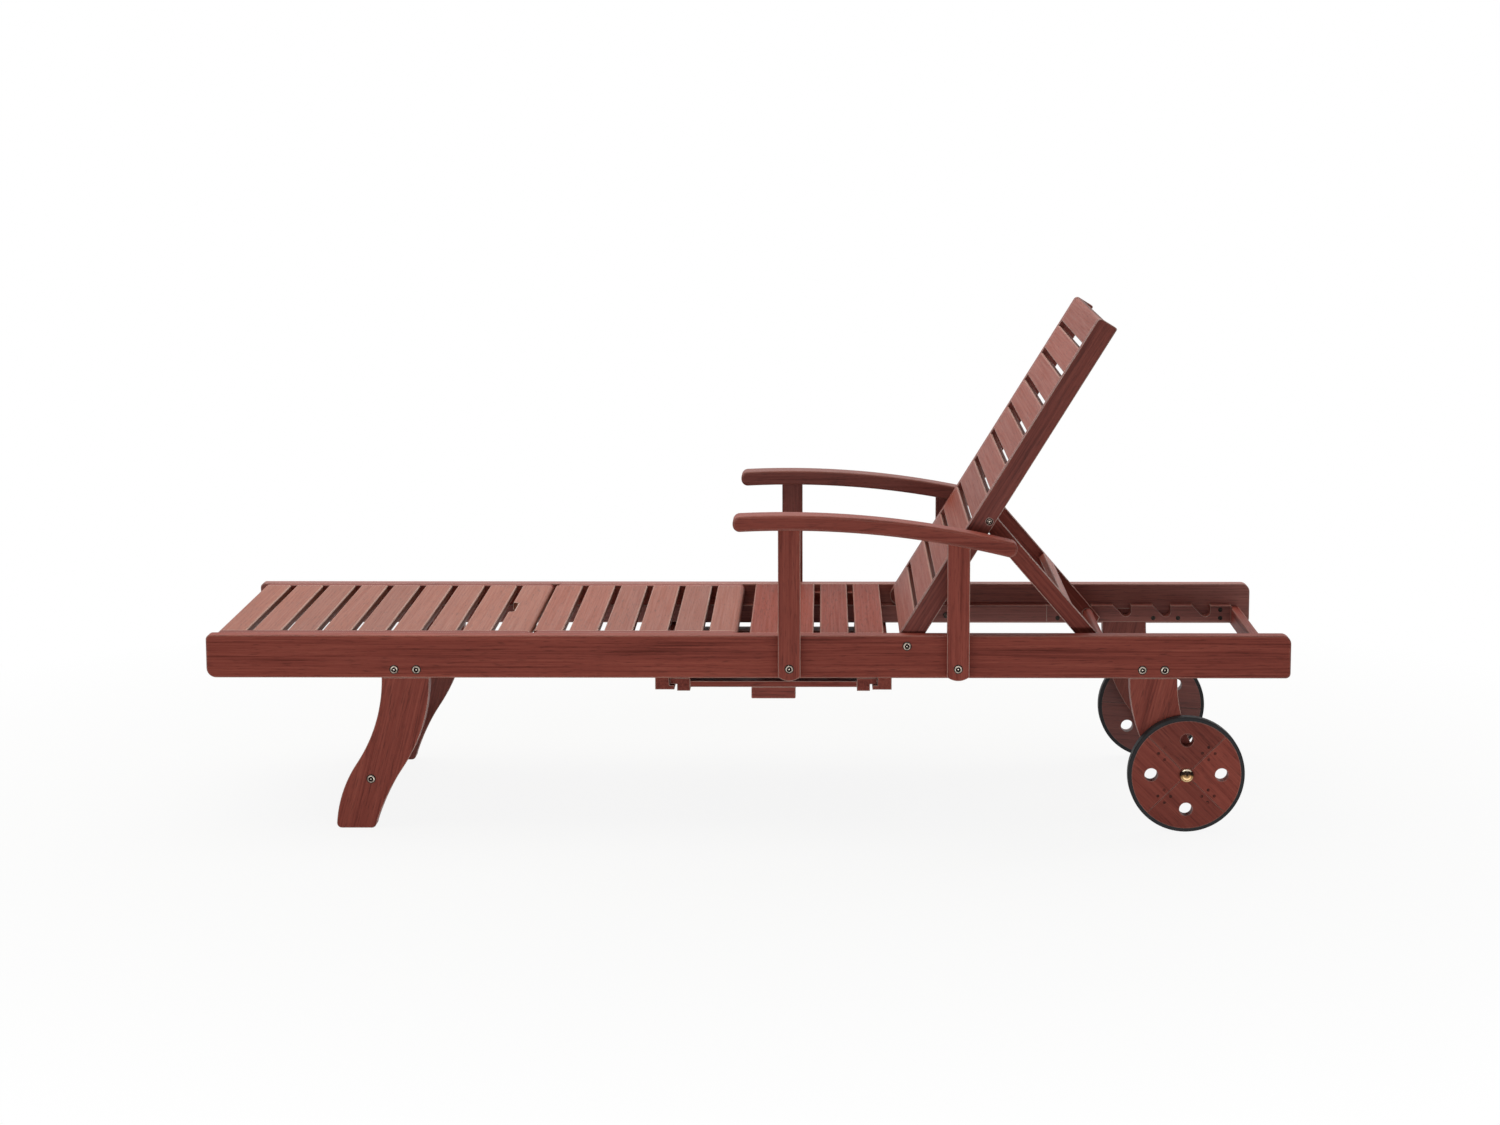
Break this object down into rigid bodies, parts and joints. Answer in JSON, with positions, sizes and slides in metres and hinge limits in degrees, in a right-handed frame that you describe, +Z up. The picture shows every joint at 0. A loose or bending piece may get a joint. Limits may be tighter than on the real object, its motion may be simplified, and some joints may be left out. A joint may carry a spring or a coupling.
{
  "type": "deck chair",
  "caption": "Wheeled wooden deck chair of the sun lounger kind, with a reclining slatted back on a notched prop, a lifting knee section, arched arms and a pull-out side tray.",
  "frame": {"origin": "on the floor under the middle of the side rails", "axes": "+X towards the head end, +Z up; the near side, to which the tray pulls out, is -Y"},
  "size_m": [2, 0.6958, 0.9437],
  "materials": {
    "hardwood": "satin stain",
    "steel": "satin",
    "brass": "satin",
    "tyre": "matt"
  },
  "bodies": {
    "frame": {"near_side_rail": "hardwood", "far_side_rail": "hardwood", "near_ledger": "hardwood", "far_ledger": "hardwood", "near_rack": "hardwood", "far_rack": "hardwood", "head_cross_rail": "hardwood", "foot_cross_rail": "hardwood", "seat_cleats": "hardwood", "seat_slats": "hardwood", "near_front_leg": "hardwood", "far_front_leg": "hardwood", "near_rear_leg": "hardwood", "far_rear_leg": "hardwood", "leg_stretcher": "hardwood", "wheel_axle": "steel", "hub_caps": "brass", "near_front_post": "hardwood", "far_front_post": "hardwood", "near_rear_post": "hardwood", "far_rear_post": "hardwood", "near_armrest": "hardwood", "far_armrest": "hardwood", "tray_runners": "hardwood", "frame_bolts": "steel", "rack_screws": "steel", "back_pivot_bolts": "steel", "thigh_pivot_screws": "steel"},
    "back": {"near_back_stile": "hardwood", "far_back_stile": "hardwood", "back_slats": "hardwood", "back_top_slat": "hardwood", "prop_pivot_bolts": "steel"},
    "prop": {"near_prop_arm": "hardwood", "far_prop_arm": "hardwood", "prop_cross_rail": "hardwood", "prop_bar": "hardwood"},
    "thigh_leaf": {"near_thigh_stile": "hardwood", "far_thigh_stile": "hardwood", "thigh_slats": "hardwood", "thigh_end_slats": "hardwood", "knee_hinge_thigh_plates": "steel", "knee_hinge_pins": "steel"},
    "leg_leaf": {"near_leg_stile": "hardwood", "far_leg_stile": "hardwood", "leg_slats": "hardwood", "leg_foot_slat": "hardwood", "finger_slat": "hardwood", "knee_hinge_leg_plates": "steel"},
    "tray": {"tray_battens": "hardwood", "tray_slats": "hardwood", "tray_pull": "hardwood"},
    "near_wheel": {"near_wheel_boards": "hardwood", "near_wheel_tyre": "tyre"},
    "far_wheel": {"far_wheel_boards": "hardwood", "far_wheel_tyre": "tyre"}
  },
  "joints": [
    {"name": "back_recline", "type": "hinge", "parent": "frame", "child": "back", "pos_m": [0.29273, 0, 0.344], "axis": [0, 1, 0], "range_deg": [-10, 58.35]},
    {"name": "prop_swing", "type": "hinge", "parent": "back", "child": "prop", "pos_m": [0.44416, 0, 0.57136], "axis": [0, 1, 0], "range_deg": [-104, 18]},
    {"name": "knee_lift", "type": "hinge", "parent": "frame", "child": "thigh_leaf", "pos_m": [-0.03957, 0, 0.344], "axis": [0, 1, 0], "range_deg": [0, 30]},
    {"name": "leg_leaf_fold", "type": "hinge", "parent": "thigh_leaf", "child": "leg_leaf", "pos_m": [-0.40238, 0, 0.3455], "axis": [0, 1, 0], "range_deg": [-48.7, 0]},
    {"name": "tray_slide", "type": "slide", "parent": "frame", "child": "tray", "axis": [0, -1, 0], "range_m": [0, 0.3]},
    {"name": "near_wheel_spin", "type": "hinge", "parent": "frame", "child": "near_wheel", "pos_m": [0.8085, -0.323, 0.108], "axis": [0, 1, 0], "continuous": true},
    {"name": "far_wheel_spin", "type": "hinge", "parent": "frame", "child": "far_wheel", "pos_m": [0.8085, 0.323, 0.108], "axis": [0, 1, 0], "continuous": true}
  ],
  "couplings": [
    {"joint": "prop_swing", "follows": "back_recline", "ratio": -1.7777},
    {"joint": "leg_leaf_fold", "follows": "knee_lift", "ratio": -1.62}
  ]
}
